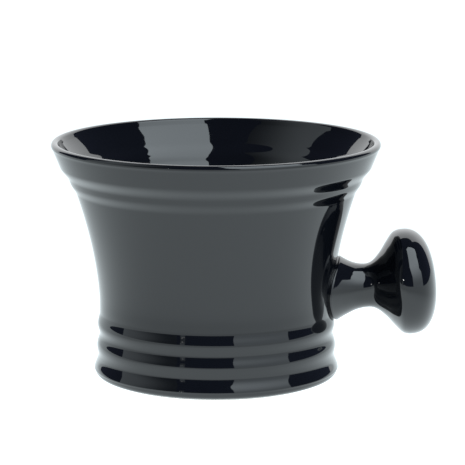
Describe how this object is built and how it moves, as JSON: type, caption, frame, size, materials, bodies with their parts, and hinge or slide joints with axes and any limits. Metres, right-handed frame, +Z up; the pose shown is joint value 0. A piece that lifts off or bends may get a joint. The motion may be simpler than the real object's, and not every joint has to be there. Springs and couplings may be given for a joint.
{
  "type": "shaving mug",
  "caption": "Flared porcelain shaving mug with rolled base, collared rim and a side-mounted mushroom knob handle.",
  "frame": {"origin": "on the standing plane, under the middle of the overall length of bowl and knob", "axes": "+Z up from the foot ring, +X from the bowl towards the knob handle, +Y completes the right-handed frame"},
  "size_m": [0.1292, 0.11, 0.0798],
  "materials": {
    "black_glaze": "glossy black glaze, glass-smooth with a faint ripple",
    "glazed_slip": "black glaze over a wiped bead of slip, glossy, pooled a little thicker in the crease",
    "clay_body": "bare fired porcelain, fine matt, showing only on the foot ring"
  },
  "bodies": {
    "root": {"bowl": "black_glaze", "knob_handle": "black_glaze", "slip_joint": "glazed_slip"}
  },
  "joints": []
}
